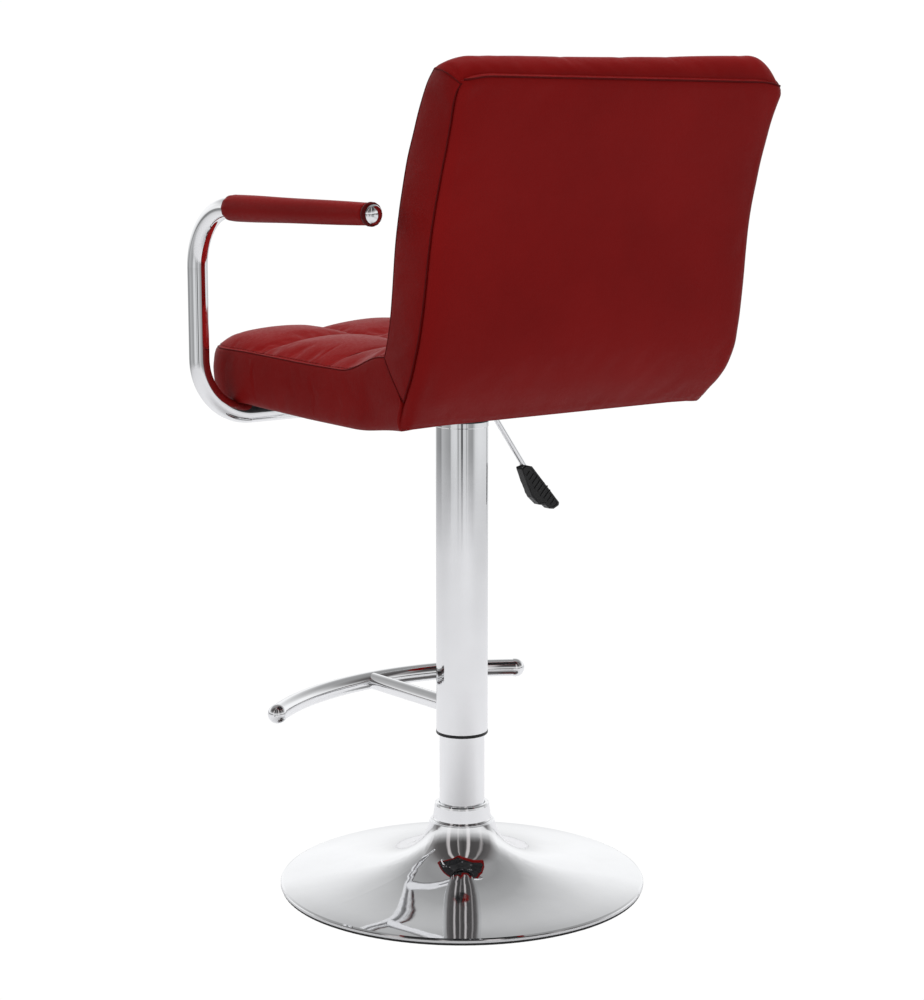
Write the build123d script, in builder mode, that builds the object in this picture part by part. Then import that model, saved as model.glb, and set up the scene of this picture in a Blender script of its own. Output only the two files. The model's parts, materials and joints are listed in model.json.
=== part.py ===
from build123d import *
import os
from math import sin, cos, radians, sqrt, atan2, pi, hypot

os.makedirs("parts", exist_ok=True)

# Adjustable swivel stool. Millimetres, +Z up. Origin on the column axis at
# floor level. The seat faces -Y, the backrest stands at +Y, the height lever
# is on the sitter's right (-X).

# ---------------------------------------------------------------- dimensions
stroke = 210.0            # gas spring travel

base_r = 192.5            # outer radius of the base disc
base_t = 2.6              # sheet thickness of the base disc
ring_h = 3.0              # rubber ring under the rim
neck_z = 69.3             # top of the trumpet
collar_top = 89.0

lower_r = 23.75           # fixed outer column tube
lower_wall = 1.5
lower_top = 440.0

cover_r = 27.05           # telescopic cover tube
cover_wall = 1.2
cover_bottom = 167.0
cover_top = 489.0
bush_bottom = 163.7

rod_r = 5.0               # piston rod
cyl_r = 14.0              # gas spring pressure pipe
cyl_wall = 1.5
run_gap = 0.05            # radial clearance of the running fits

seat_bottom = 516.0
lining_t = 0.8            # under-seat lining
half_w = 198.0            # half width of seat and back
seat_front = -198.0
corner_r = 52.0           # plan radius of the front corners
panel_t = 6.0             # rear upholstered panel
shell_t = 10.0            # bent plywood shell

arm_x = 236.0             # arm plane
arm_y = -127.0            # vertical leg
arm_z = 715.0             # height of the arm axis
arm_low_z = 504.5         # tube run under the seat
arm_tube_r = 10.2
arm_bend_top = 60.0
arm_bend_low = 59.0
arm_core_r = 7.5          # reduced end inside the pad
arm_pad_front = -66.0
arm_pad_rear = 168.0
arm_pad_r_front = 12.9
arm_pad_r_rear = 10.4
arm_hem_r = 11.1
arm_plug_r = 9.1
arm_end_x = 112.0

foot_z = 189.3            # foot rail height
foot_end_x = 160.6
foot_end_y = -106.3
foot_mid_y = -159.8
foot_r = 9.6

lever_r = 3.0
pivot_x = -22.0
lever_z = 504.0


# ------------------------------------------------------------------- helpers
def offset_points(points, distance):
    """Points moved sideways by distance, to the left of the direction of travel."""
    moved = []
    for i, (a, b) in enumerate(points):
        p = points[max(i - 1, 0)]
        q = points[min(i + 1, len(points) - 1)]
        dx, dy = q[0] - p[0], q[1] - p[1]
        n = hypot(dx, dy)
        moved.append((a - dy / n * distance, b + dx / n * distance))
    return moved


# ===================================================================== BASE
# Spun trumpet disc: thin shell with a rolled-down rim.
trumpet = [(34.2, neck_z), (36.4, 61.0), (40.2, 52.5), (46.0, 44.5), (54.5, 37.0),
           (67.0, 30.0), (85.0, 23.6), (108.0, 18.4), (134.0, 14.2), (160.0, 10.9),
           (180.0, 8.4), (190.0, 6.9)]
under = offset_points(trumpet, -base_t)
with BuildPart() as base_disc:
    with BuildSketch(Plane.XZ):
        with BuildLine():
            Spline(*trumpet)
            Polyline(trumpet[-1], (192.0, 6.1), (base_r, 5.2), (base_r, ring_h), (188.4, ring_h),
                     under[-1])
            Spline(*reversed(under[1:]))
            Polyline(under[1], (31.05, 60.5), (31.05, neck_z), trumpet[0])
        make_face()
    revolve(axis=Axis.Z)
base_disc.part.label = "base_disc"
export_step(base_disc.part, "parts/base_disc.step")

# Rubber ring that the rim stands on.
with BuildPart() as base_ring:
    with BuildSketch(Plane.XZ):
        with Locations((187.8, ring_h / 2)):
            RectangleRounded(7.6, ring_h, 0.9)
    revolve(axis=Axis.Z)
base_ring.part.label = "base_ring"
export_step(base_ring.part, "parts/base_ring.step")

# Socket welded into the trumpet neck, holding the column tube.
with BuildPart() as base_socket:
    with BuildSketch(Plane.XZ):
        with BuildLine():
            Polyline((lower_r + 0.02, 22.0), (28.5, 22.0), (29.2, 24.0), (29.2, 56.0),
                     (31.0, 58.0), (31.0, neck_z), (lower_r + 0.02, neck_z), close=True)
        make_face()
    revolve(axis=Axis.Z)
base_socket.part.label = "base_socket"
export_step(base_socket.part, "parts/base_socket.step")

# Stepped trim ring that hides the weld.
with BuildPart() as base_collar:
    with BuildSketch(Plane.XZ):
        with BuildLine():
            Polyline((lower_r + 0.25, collar_top - 1.0), (lower_r + 1.0, collar_top),
                     (27.0, collar_top), (28.3, collar_top - 1.0), (28.9, collar_top - 3.0),
                     (30.6, neck_z + 3.4), (31.2, neck_z + 2.3), (32.2, neck_z + 2.0),
                     (32.6, neck_z + 1.3), (32.6, neck_z), (29.2, neck_z),
                     (27.4, collar_top - 3.2), (lower_r + 0.25, collar_top - 3.2), close=True)
        make_face()
    revolve(axis=Axis.Z)
base_collar.part.label = "base_collar"
export_step(base_collar.part, "parts/base_collar.step")

# Fixed column tube.
with BuildPart() as lower_tube:
    with BuildSketch(Plane.XY.offset(16.0)):
        Circle(lower_r)
        Circle(lower_r - lower_wall, mode=Mode.SUBTRACT)
    extrude(amount=lower_top - 16.0)
lower_tube.part.label = "lower_tube"
export_step(lower_tube.part, "parts/lower_tube.step")

# Plastic guide bush in the mouth of the column tube; the gas spring slides in it.
with BuildPart() as guide_bush:
    with BuildSketch(Plane.XZ):
        with BuildLine():
            Polyline((cyl_r + run_gap, 372.0), (lower_r - lower_wall - 0.02, 372.0),
                     (lower_r - lower_wall - 0.02, lower_top), (lower_r, lower_top),
                     (lower_r, lower_top + 3.0), (lower_r - 1.0, lower_top + 4.0),
                     (cyl_r + 1.0, lower_top + 4.0), (cyl_r + run_gap, lower_top + 3.0), close=True)
        make_face()
    revolve(axis=Axis.Z)
guide_bush.part.label = "guide_bush"
export_step(guide_bush.part, "parts/guide_bush.step")

# Bottom plate of the column tube.
with BuildPart() as end_plate:
    with BuildSketch(Plane.XY.offset(16.0)):
        Circle(lower_r - lower_wall - 0.02)
        Circle(4.55, mode=Mode.SUBTRACT)
    extrude(amount=4.0)
end_plate.part.label = "end_plate"
export_step(end_plate.part, "parts/end_plate.step")

# Thrust bearing: lower race, balls, upper race.
with BuildPart() as thrust_race_lower:
    with BuildSketch(Plane.XY.offset(20.0)):
        Circle(13.0)
        Circle(5.2, mode=Mode.SUBTRACT)
    extrude(amount=2.0)
thrust_race_lower.part.label = "thrust_race_lower"
export_step(thrust_race_lower.part, "parts/thrust_race_lower.step")

with BuildPart() as thrust_balls:
    with Locations((0, 0, 23.5)):
        with PolarLocations(9.2, 12):
            Sphere(1.5)
thrust_balls.part.label = "thrust_balls"
export_step(thrust_balls.part, "parts/thrust_balls.step")

# ================================================================== SPINDLE
with BuildPart() as thrust_race_upper:
    with BuildSketch(Plane.XY.offset(25.05)):
        Circle(13.0)
        Circle(4.55, mode=Mode.SUBTRACT)
    extrude(amount=1.95)
thrust_race_upper.part.label = "thrust_race_upper"
export_step(thrust_race_upper.part, "parts/thrust_race_upper.step")

with BuildPart() as rod_clip:
    with BuildSketch(Plane.XY.offset(14.4)):
        Circle(8.0)
        Circle(4.2, mode=Mode.SUBTRACT)
    extrude(amount=1.2)
    chamfer(rod_clip.edges().filter_by(GeomType.CIRCLE).sort_by(SortBy.RADIUS)[-2:], 0.25)
rod_clip.part.label = "rod_clip"
export_step(rod_clip.part, "parts/rod_clip.step")

# Piston rod: necked lower end with the clip groove, ground rod, threaded top.
with BuildPart() as piston_rod:
    with BuildSketch(Plane.XZ):
        with BuildLine():
            Polyline((0, 11.5), (4.0, 11.5), (4.5, 12.2), (4.5, 14.4), (4.2, 14.4), (4.2, 15.6),
                     (4.5, 15.6), (4.5, 27.0), (rod_r, 27.0), (rod_r, 470.0), (0, 470.0), close=True)
        make_face()
    revolve(axis=Axis.Z)
piston_rod.part.label = "piston_rod"
export_step(piston_rod.part, "parts/piston_rod.step")

with BuildPart() as piston:
    with BuildSketch(Plane.XZ):
        with BuildLine():
            Polyline((rod_r, 452.0), (11.0, 452.0), (11.0, 454.0), (12.45, 454.0), (12.45, 460.0),
                     (11.6, 460.0), (11.6, 462.5), (12.45, 462.5), (12.45, 468.0), (rod_r, 468.0),
                     close=True)
        make_face()
    revolve(axis=Axis.Z)
piston.part.label = "piston"
export_step(piston.part, "parts/piston.step")

# Rubber bump stop on the rod.
with BuildPart() as bump_stop:
    with BuildSketch(Plane.XZ):
        with BuildLine():
            Polyline((rod_r, 27.0), (12.0, 27.0), (12.6, 28.5), (12.6, 31.5), (11.5, 33.4),
                     (rod_r, 33.4), close=True)
        make_face()
    revolve(axis=Axis.Z)
bump_stop.part.label = "bump_stop"
export_step(bump_stop.part, "parts/bump_stop.step")

# ===================================================================== SEAT
# Gas spring pressure pipe with the rod gland at the bottom and a tapered top.
with BuildPart() as gas_cylinder:
    with BuildSketch(Plane.XZ):
        with BuildLine():
            Polyline((rod_r + run_gap, 33.8), (12.5, 33.8), (cyl_r, 35.2), (cyl_r, 455.0),
                     (13.3, 497.0), (2.55, 497.0), (2.55, 489.0), (cyl_r - cyl_wall, 489.0),
                     (cyl_r - cyl_wall, 46.0), (rod_r + run_gap, 46.0), close=True)
        make_face()
    revolve(axis=Axis.Z)
gas_cylinder.part.label = "gas_cylinder"
export_step(gas_cylinder.part, "parts/gas_cylinder.step")

# Tapered hub of the seat mechanism, pressed onto the gas spring.
with BuildPart() as plate_hub:
    with BuildSketch(Plane.XZ):
        with BuildLine():
            Polyline((cyl_r + 0.02, 455.0), (18.0, 455.0), (18.0, 495.0),
                     (13.36, 495.0), close=True)
        make_face()
    revolve(axis=Axis.Z)
plate_hub.part.label = "plate_hub"
export_step(plate_hub.part, "parts/plate_hub.step")

# Cover tube around the column, closed at the top by a flanged ring.
with BuildPart() as cover_tube:
    with BuildSketch(Plane.XY.offset(cover_bottom)):
        Circle(cover_r)
        Circle(cover_r - cover_wall, mode=Mode.SUBTRACT)
    extrude(amount=cover_top - cover_bottom)
cover_tube.part.label = "cover_tube"
export_step(cover_tube.part, "parts/cover_tube.step")

with BuildPart() as cover_flange:
    with BuildSketch(Plane.XZ):
        with BuildLine():
            Polyline((18.02, 480.0), (cover_r - cover_wall - 0.02, 480.0),
                     (cover_r - cover_wall - 0.02, cover_top), (cover_r, cover_top),
                     (cover_r + 0.4, cover_top + 0.6), (cover_r + 0.4, 494.4), (cover_r, 495.0),
                     (18.02, 495.0), close=True)
        make_face()
    revolve(axis=Axis.Z)
cover_flange.part.label = "cover_flange"
export_step(cover_flange.part, "parts/cover_flange.step")

# Black bush in the mouth of the cover tube.
with BuildPart() as cover_bush:
    with BuildSketch(Plane.XZ):
        with BuildLine():
            Polyline((lower_r + 0.35, bush_bottom + 0.6), (lower_r + 0.9, bush_bottom),
                     (cover_r - 0.3, bush_bottom), (cover_r + 0.25, bush_bottom + 0.8),
                     (cover_r + 0.25, cover_bottom), (cover_r - cover_wall - 0.02, cover_bottom),
                     (cover_r - cover_wall - 0.02, cover_bottom + 18.0),
                     (lower_r + 0.35, cover_bottom + 18.0), close=True)
        make_face()
    revolve(axis=Axis.Z)
cover_bush.part.label = "cover_bush"
export_step(cover_bush.part, "parts/cover_bush.step")

# ---- foot rail: an arc through three points, a strut and two ball ends
foot_rise = foot_end_y - foot_mid_y
foot_R = (foot_end_x ** 2 + foot_rise ** 2) / (2 * foot_rise)
foot_cy = foot_mid_y + foot_R
with BuildPart() as footrest_arc:
    with BuildLine() as foot_path:
        ThreePointArc((-foot_end_x, foot_end_y, foot_z), (0, foot_mid_y, foot_z),
                      (foot_end_x, foot_end_y, foot_z))
    with BuildSketch(Plane(origin=foot_path.line @ 0, z_dir=foot_path.line % 0)):
        Circle(foot_r)
        Circle(foot_r - 1.5, mode=Mode.SUBTRACT)
    sweep(path=foot_path.line)
footrest_arc.part.label = "footrest_arc"
export_step(footrest_arc.part, "parts/footrest_arc.step")

with BuildPart() as footrest_strut:
    with BuildSketch(Plane(origin=(0, 0, foot_z), x_dir=(1, 0, 0), z_dir=(0, -1, 0))):
        Circle(8.9)
    extrude(amount=-foot_mid_y)
    with BuildSketch(Plane.XY.offset(foot_z - 15)):
        Circle(cover_r)
    extrude(amount=30, mode=Mode.SUBTRACT)
    # saddle cut where the strut meets the rail
    with BuildLine() as saddle_path:
        ThreePointArc((-foot_end_x, foot_end_y, foot_z), (0, foot_mid_y, foot_z),
                      (foot_end_x, foot_end_y, foot_z))
    with BuildSketch(Plane(origin=saddle_path.line @ 0, z_dir=saddle_path.line % 0)):
        Circle(foot_r)
    sweep(path=saddle_path.line, mode=Mode.SUBTRACT)
strut_solid = footrest_strut.part.solids().sort_by(SortBy.VOLUME)[-1]
with BuildPart() as footrest_strut_clean:
    add(strut_solid)
footrest_strut_clean.part.label = "footrest_strut"
export_step(footrest_strut_clean.part, "parts/footrest_strut.step")

end_angle = atan2(foot_end_y - foot_cy, foot_end_x)
with BuildPart() as footrest_caps:
    for side in (1, -1):
        ux, uy = side * -sin(end_angle), cos(end_angle)
        cap_plane = Plane(origin=(side * foot_end_x, foot_end_y, foot_z), x_dir=(0, 0, 1),
                          z_dir=(ux, uy, 0))
        with BuildSketch(cap_plane):
            Circle(foot_r + 0.6)
        extrude(amount=2.5)
        with Locations(cap_plane.offset(2.5).location):
            Sphere(foot_r + 0.6, arc_size1=0, arc_size2=90,
                   align=(Align.CENTER, Align.CENTER, Align.MIN))
footrest_caps.part.label = "footrest_caps"
export_step(footrest_caps.part, "parts/footrest_caps.step")

# ---- under-seat mechanism
plate_top = seat_bottom - lining_t
plate_x, plate_y = 150.0, 190.0
bolt_x, bolt_y = 58.0, 78.0
with BuildPart() as mount_plate:
    with BuildSketch(Plane.XY.offset(plate_top - 3.2)):
        RectangleRounded(plate_x, plate_y, 14)
        with GridLocations(2 * bolt_x, 2 * bolt_y, 2, 2):
            Circle(4.2, mode=Mode.SUBTRACT)
    extrude(amount=3.2)
mount_plate.part.label = "mount_plate"
export_step(mount_plate.part, "parts/mount_plate.step")

# Channel housing between the hub and the plate; the lever leaves at its -X end.
house_top = plate_top - 3.2
house_x0, house_x1 = -38.0, 34.0
with BuildPart() as lever_housing:
    with BuildSketch(Plane.XY.offset(495.0)):
        with Locations(((house_x0 + house_x1) / 2, 0)):
            Rectangle(house_x1 - house_x0, 44.0)
    extrude(amount=house_top - 495.0)
    with BuildSketch(Plane.XY.offset(497.0)):
        with Locations((-4.0, 0)):
            Rectangle(72.0, 38.0)
    extrude(amount=house_top - 497.0, mode=Mode.SUBTRACT)
    # the gas spring comes up through the floor of the channel
    with BuildSketch(Plane.XY.offset(495.0)):
        Circle(13.36)
    extrude(amount=2.0, mode=Mode.SUBTRACT)
    # relief in the floor for the lever's bend
    with BuildSketch(Plane.XY.offset(495.0)):
        with Locations((-34.0, 0)):
            Rectangle(10.0, 12.0)
    extrude(amount=2.0, mode=Mode.SUBTRACT)
    # pivot holes
    with BuildSketch(Plane(origin=(pivot_x, -25, lever_z), x_dir=(1, 0, 0), z_dir=(0, 1, 0))):
        Circle(1.52)
    extrude(amount=50.0, mode=Mode.SUBTRACT)
lever_housing.part.label = "lever_housing"
export_step(lever_housing.part, "parts/lever_housing.step")

with BuildPart() as lever_pivot:
    with BuildSketch(Plane(origin=(pivot_x, -23, lever_z), x_dir=(1, 0, 0), z_dir=(0, 1, 0))):
        Circle(1.5)
    extrude(amount=46.0)
lever_pivot.part.label = "lever_pivot"
export_step(lever_pivot.part, "parts/lever_pivot.step")

# ---- lever: bent rod with a moulded grip
lever_bend = (-37.4, lever_z)
lever_dir = (-36.1 / 61.4, -49.6 / 61.4)
lever_end = (lever_bend[0] + lever_dir[0] * 100.0, lever_bend[1] + lever_dir[1] * 100.0)
with BuildPart() as lever_rod:
    with BuildLine() as lever_path:
        FilletPolyline((4.0, 0, lever_z), (lever_bend[0], 0, lever_bend[1]),
                       (lever_end[0], 0, lever_end[1]), radius=9.0)
    with BuildSketch(Plane(origin=(4.0, 0, lever_z), x_dir=(0, 1, 0), z_dir=(-1, 0, 0))):
        Circle(lever_r)
    sweep(path=lever_path.line)
    with BuildSketch(Plane(origin=(pivot_x, -5, lever_z), x_dir=(1, 0, 0), z_dir=(0, 1, 0))):
        Circle(1.55)
    extrude(amount=10.0, mode=Mode.SUBTRACT)
lever_rod.part.label = "lever_rod"
export_step(lever_rod.part, "parts/lever_rod.step")

grip_outline = [(-77.0, 437.0), (-84.0, 441.5), (-92.8, 440.0), (-131.0, 397.0), (-130.0, 393.4),
                (-122.0, 389.5), (-116.0, 389.8), (-111.0, 393.5), (-101.0, 394.0),
                (-90.5, 402.5), (-84.5, 414.0)]
with BuildPart() as lever_grip:
    with BuildSketch(Plane(origin=(0, 6.5, 0), x_dir=(1, 0, 0), z_dir=(0, -1, 0))):
        with BuildLine():
            Polyline(*grip_outline, close=True)
        make_face()
    extrude(amount=13.0)
    fillet(lever_grip.edges().filter_by(Axis.Y, reverse=False), 1.6)
    fillet(lever_grip.faces().filter_by(Axis.Y).edges(), 1.4)
    add(lever_rod.part, mode=Mode.SUBTRACT)
lever_grip.part.label = "lever_grip"
export_step(lever_grip.part, "parts/lever_grip.step")

# Release pin of the gas spring, under the inner end of the lever.
with BuildPart() as valve_pin:
    with BuildSketch(Plane.XZ):
        with BuildLine():
            Polyline((0, 480.0), (3.6, 480.0), (3.6, 484.0), (2.5, 485.0), (2.5, 499.9),
                     (1.8, 500.6), (0, 500.6), close=True)
        make_face()
    revolve(axis=Axis.Z)
valve_pin.part.label = "valve_pin"
export_step(valve_pin.part, "parts/valve_pin.step")

# ---- side profile of the upholstery, (Y, Z)
rear_line = [(153.9, 516.0), (158.5, 526.0), (165.8, 536.0), (172.1, 544.7), (178.4, 555.0),
             (184.0, 566.0), (188.5, 578.0), (192.0, 591.0), (195.2, 604.0), (199.0, 625.0),
             (202.4, 648.0), (205.6, 673.0), (209.3, 697.0), (214.2, 719.5), (219.2, 737.5),
             (224.0, 755.0), (228.2, 768.0), (232.9, 783.0), (237.6, 798.0), (243.0, 813.0),
             (250.6, 827.0)]
front_line = [(131.6, 582.0), (136.3, 596.0), (141.0, 618.0), (144.6, 645.0), (149.3, 686.0),
              (155.2, 716.0), (161.5, 738.0), (170.0, 765.0), (178.4, 786.0), (187.2, 808.0),
              (198.5, 830.0), (207.0, 842.0)]
crest_line = [(207.0, 842.0), (217.0, 849.0), (231.0, 852.5), (244.0, 849.0), (251.5, 840.0),
              (250.6, 827.0)]
inner_line = [(y - panel_t, z) for y, z in rear_line]

# Bent plywood shell: flat under the seat, turned up behind the back.
shell_mid = [(108.0, 521.0), (126.0, 522.6), (141.0, 528.6), (153.0, 540.0), (163.0, 556.0),
             (171.5, 575.0), (178.5, 597.0), (184.5, 622.0), (189.5, 650.0), (193.5, 680.0),
             (199.0, 710.0), (206.5, 740.0), (215.5, 769.0), (225.0, 797.0), (231.0, 812.0)]
shell_out = offset_points(shell_mid, -shell_t / 2)
shell_in = offset_points(shell_mid, shell_t / 2)
shell_out[0] = (108.0, 516.0)
shell_in[0] = (108.0, 526.0)
shell_front = -168.0
shell_half = 178.0
with BuildPart() as seat_shell:
    with BuildSketch(Plane.YZ.offset(-shell_half)):
        with BuildLine():
            Polyline((shell_front, 516.0), *shell_out, *reversed(shell_in),
                     (shell_front, 526.0), close=True)
        make_face()
    extrude(amount=2 * shell_half)
    with BuildSketch(Plane.XY.offset(510.0)):
        with GridLocations(2 * bolt_x, 2 * bolt_y, 2, 2):
            Circle(5.6)
        for side in (1, -1):
            with Locations((side * 88.0, arm_y - 16.0), (side * 88.0, arm_y + 16.0)):
                Circle(3.02)
    extrude(amount=20.0, mode=Mode.SUBTRACT)
seat_shell.part.label = "seat_shell"
export_step(seat_shell.part, "parts/seat_shell.step")

# Tee nuts set in the shell, and the bolts that hold the mechanism to it.
with BuildPart() as tee_nuts:
    with BuildSketch(Plane.XY.offset(518.0)):
        with GridLocations(2 * bolt_x, 2 * bolt_y, 2, 2):
            Circle(5.6)
            Circle(4.0, mode=Mode.SUBTRACT)
    extrude(amount=8.0)
    with BuildSketch(Plane.XY.offset(526.0)):
        with GridLocations(2 * bolt_x, 2 * bolt_y, 2, 2):
            Circle(9.5)
            Circle(4.0, mode=Mode.SUBTRACT)
    extrude(amount=1.2)
tee_nuts.part.label = "tee_nuts"
export_step(tee_nuts.part, "parts/tee_nuts.step")

with BuildPart() as plate_bolts:
    with BuildSketch(Plane.XY.offset(plate_top - 3.2)):
        with GridLocations(2 * bolt_x, 2 * bolt_y, 2, 2):
            Circle(4.0)
    extrude(amount=17.0)
    with BuildSketch(Plane.XY.offset(plate_top - 3.2)):
        with GridLocations(2 * bolt_x, 2 * bolt_y, 2, 2):
            Circle(7.0)
    extrude(amount=-4.6)
    with BuildSketch(Plane.XY.offset(plate_top - 7.8)):
        with GridLocations(2 * bolt_x, 2 * bolt_y, 2, 2):
            RegularPolygon(2.6, 6)
    extrude(amount=2.6, mode=Mode.SUBTRACT)
plate_bolts.part.label = "plate_bolts"
export_step(plate_bolts.part, "parts/plate_bolts.step")

# Lining under the seat.
with BuildPart() as under_lining:
    with BuildSketch(Plane.XY.offset(plate_top)):
        with Locations((0, -12.0)):
            RectangleRounded(2 * 176.0, 326.0, 40)
        with GridLocations(2 * bolt_x, 2 * bolt_y, 2, 2):
            Circle(4.2, mode=Mode.SUBTRACT)
        for side in (1, -1):
            with Locations((side * 88.0, arm_y - 16.0), (side * 88.0, arm_y + 16.0)):
                Circle(3.2, mode=Mode.SUBTRACT)
    extrude(amount=lining_t)
under_lining.part.label = "under_lining"
export_step(under_lining.part, "parts/under_lining.step")

# Seat cushion: boxed pad, rounded front, crowned top, mitred into the back.
with BuildPart() as seat_pad:
    with BuildSketch(Plane.YZ.offset(-half_w)):
        with BuildLine():
            Polyline((seat_front + 16.0, seat_bottom), (inner_line[0][0], seat_bottom))
            Spline(*inner_line[:4])
            Line(inner_line[3], front_line[0])
            Spline(front_line[0], (100.0, 589.0), (0.0, 592.0), (-100.0, 589.0), (-160.0, 582.0),
                   (-186.0, 573.0))
            Spline((-186.0, 573.0), (-196.0, 562.0), (seat_front, 545.0), (-194.5, 526.0),
                   (seat_front + 16.0, seat_bottom))
        make_face()
    extrude(amount=2 * half_w)
    # plan shape with rounded front corners
    with BuildSketch(Plane.XY.offset(500.0)):
        with BuildLine():
            FilletPolyline((-half_w, 260.0), (-half_w, seat_front), (half_w, seat_front),
                           (half_w, 260.0), radius=corner_r)
            Line((-half_w, 260.0), (half_w, 260.0))
        make_face()
    extrude(amount=120.0, mode=Mode.INTERSECT)
    # rounded shoulders along both sides
    with BuildSketch(Plane.XZ.offset(300.0)):
        with BuildLine():
            Polyline((-half_w + 13.0, 500.0), (-half_w + 13.0, 516.0), (-half_w + 4.0, 519.5),
                     (-half_w, 527.0), (-half_w, 570.0), (-half_w + 7.0, 581.0),
                     (-half_w + 28.0, 588.0), (-half_w + 90.0, 594.0), (half_w - 90.0, 594.0),
                     (half_w - 28.0, 588.0), (half_w - 7.0, 581.0), (half_w, 570.0),
                     (half_w, 527.0), (half_w - 4.0, 519.5), (half_w - 13.0, 516.0),
                     (half_w - 13.0, 500.0), close=True)
        make_face()
    extrude(amount=-600.0, mode=Mode.INTERSECT)
    add(seat_shell.part, mode=Mode.SUBTRACT)
    add(tee_nuts.part, mode=Mode.SUBTRACT)
    with BuildSketch(Plane.XY.offset(515.0)):
        with GridLocations(2 * bolt_x, 2 * bolt_y, 2, 2):
            Circle(9.5)
        for side in (1, -1):
            with Locations((side * 88.0, arm_y - 16.0), (side * 88.0, arm_y + 16.0)):
                Circle(3.02)
    extrude(amount=15.0, mode=Mode.SUBTRACT)
seat_pad.part.label = "seat_pad"
export_step(seat_pad.part, "parts/seat_pad.step")

# Back cushion with its rolled crest.
with BuildPart() as back_pad:
    with BuildSketch(Plane.YZ.offset(-half_w)):
        with BuildLine():
            Spline(*front_line)
            Spline(*crest_line)
            Line(rear_line[-1], inner_line[-1])
            Spline(*reversed(inner_line[3:]))
            Line(inner_line[3], front_line[0])
        make_face()
    extrude(amount=2 * half_w)
    # rounded top corners, seen from behind
    with BuildSketch(Plane.XZ.offset(-400.0)):
        with BuildLine():
            Polyline((-half_w, 500.0), (-half_w, 836.0), (-half_w + 4.0, 846.0),
                     (-half_w + 12.0, 853.0), (-half_w + 24.0, 857.0), (-half_w + 40.0, 858.0),
                     (half_w - 40.0, 858.0), (half_w - 24.0, 857.0), (half_w - 12.0, 853.0),
                     (half_w - 4.0, 846.0), (half_w, 836.0), (half_w, 500.0), close=True)
        make_face()
    extrude(amount=400.0, mode=Mode.INTERSECT)
    add(seat_shell.part, mode=Mode.SUBTRACT)
back_pad.part.label = "back_pad"
export_step(back_pad.part, "parts/back_pad.step")

# Rear upholstered panel, from the heel to the crest seam.
with BuildPart() as back_panel:
    with BuildSketch(Plane.YZ.offset(-half_w)):
        with BuildLine():
            Spline(*rear_line)
            Line(rear_line[-1], inner_line[-1])
            Spline(*reversed(inner_line[3:]))
            Spline(*reversed(inner_line[:4]))
            Line(inner_line[0], rear_line[0])
        make_face()
    extrude(amount=2 * half_w)
back_panel.part.label = "back_panel"
export_step(back_panel.part, "parts/back_panel.step")

# ---- arms
for side, hand in ((1, "left"), (-1, "right")):
    ax = side * arm_x
    bend_y = arm_y + arm_bend_top
    with BuildPart() as arm_tube:
        with BuildLine() as arm_path:
            ThreePointArc((ax, bend_y, arm_z),
                          (ax, bend_y - arm_bend_top * sin(radians(45)),
                           arm_z - arm_bend_top * (1 - cos(radians(45)))),
                          (ax, arm_y, arm_z - arm_bend_top))
            Line((ax, arm_y, arm_z - arm_bend_top), (ax, arm_y, arm_low_z + arm_bend_low))
            ThreePointArc((ax, arm_y, arm_low_z + arm_bend_low),
                          (ax - side * arm_bend_low * (1 - cos(radians(45))), arm_y,
                           arm_low_z + arm_bend_low * (1 - sin(radians(45)))),
                          (ax - side * arm_bend_low, arm_y, arm_low_z))
            Line((ax - side * arm_bend_low, arm_y, arm_low_z),
                 (side * arm_end_x, arm_y, arm_low_z))
        with BuildSketch(Plane(origin=(ax, bend_y, arm_z), x_dir=(1, 0, 0), z_dir=(0, -1, 0))):
            Circle(arm_tube_r)
            Circle(arm_tube_r - 1.5, mode=Mode.SUBTRACT)
        sweep(path=arm_path.wires()[0])
        # shoulder, and the reduced core that runs through the pad
        with BuildSketch(Plane(origin=(ax, bend_y, arm_z), x_dir=(1, 0, 0), z_dir=(0, 1, 0))):
            Circle(arm_tube_r)
        extrude(amount=1.0)
        with BuildSketch(Plane(origin=(ax, bend_y + 1.0, arm_z), x_dir=(1, 0, 0), z_dir=(0, 1, 0))):
            Circle(arm_core_r)
        extrude(amount=arm_pad_rear - bend_y - 3.0)
    arm_tube.part.label = "arm_tube_" + hand
    export_step(arm_tube.part, "parts/arm_tube_" + hand + ".step")

    # padded sleeve, a slim round pad tapering to the rear
    with BuildPart() as arm_pad:
        with BuildSketch(Plane(origin=(ax, 0, arm_z), x_dir=(0, 1, 0), z_dir=(side, 0, 0))):
            with BuildLine():
                y0, y1 = arm_pad_front, arm_pad_rear - 8.0
                Spline((y0, arm_tube_r * 0.86), (y0 + 2.5, arm_pad_r_front - 1.3),
                       (y0 + 9.0, arm_pad_r_front - 0.1), (y0 + 50.0, arm_pad_r_front - 0.2),
                       (y0 + 100.0, arm_pad_r_front - 0.9), (y0 + 150.0, arm_pad_r_front - 1.6),
                       (y1 - 12.0, arm_pad_r_rear), (y1, arm_pad_r_rear - 0.9))
                Polyline((y1, arm_pad_r_rear - 0.9), (y1, arm_core_r + 0.02),
                         (y0, arm_core_r + 0.02), (y0, arm_tube_r * 0.86))
            make_face()
        revolve(axis=Axis((ax, 0, arm_z), (0, 1, 0)))
    arm_pad.part.label = "arm_pad_" + hand
    export_step(arm_pad.part, "parts/arm_pad_" + hand + ".step")

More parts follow.
